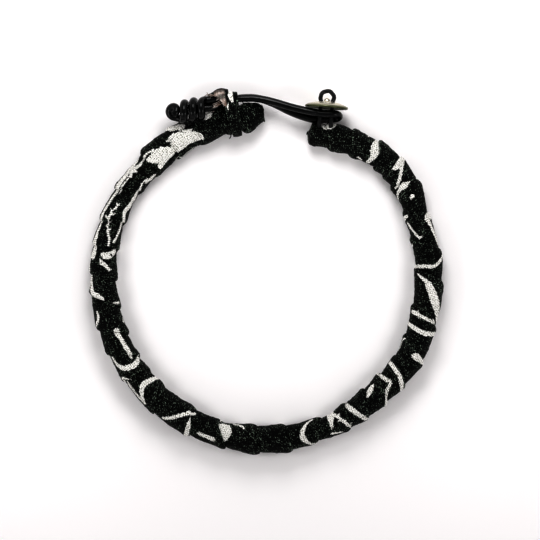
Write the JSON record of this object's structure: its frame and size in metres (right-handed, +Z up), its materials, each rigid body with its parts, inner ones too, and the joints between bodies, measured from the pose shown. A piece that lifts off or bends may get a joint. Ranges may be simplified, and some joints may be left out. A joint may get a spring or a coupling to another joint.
{
  "type": "fabric bracelet",
  "caption": "Round bracelet of printed cotton strip wound on a cord core, closed by a doubled leather cord looped under a small domed metal button.",
  "frame": {"origin": "middle of the bracelet's box, on the surface that it lies on", "axes": "+Z up out of the surface, along the way the wrist goes through; +Y towards the clasp; +X towards the button's end"},
  "size_m": [0.0707, 0.0728, 0.0087],
  "materials": {
    "printed_cotton": "plain-woven cotton, black with off-white brush strokes",
    "printed_cotton_end": "the same cotton, with a raw frayed edge and its paler unprinted back",
    "black_leather": "round black leather cord, dyed and lightly glossy",
    "nickel_plate": "nickel-plated metal, satin with a soft shine",
    "waxed_cord": "thin black waxed cotton cord"
  },
  "bodies": {
    "root": {"cloth_wrap": "printed_cotton", "end_wrap": "printed_cotton_end", "leather_cord": "black_leather", "button": "nickel_plate", "button_cord": "waxed_cord"}
  },
  "joints": []
}
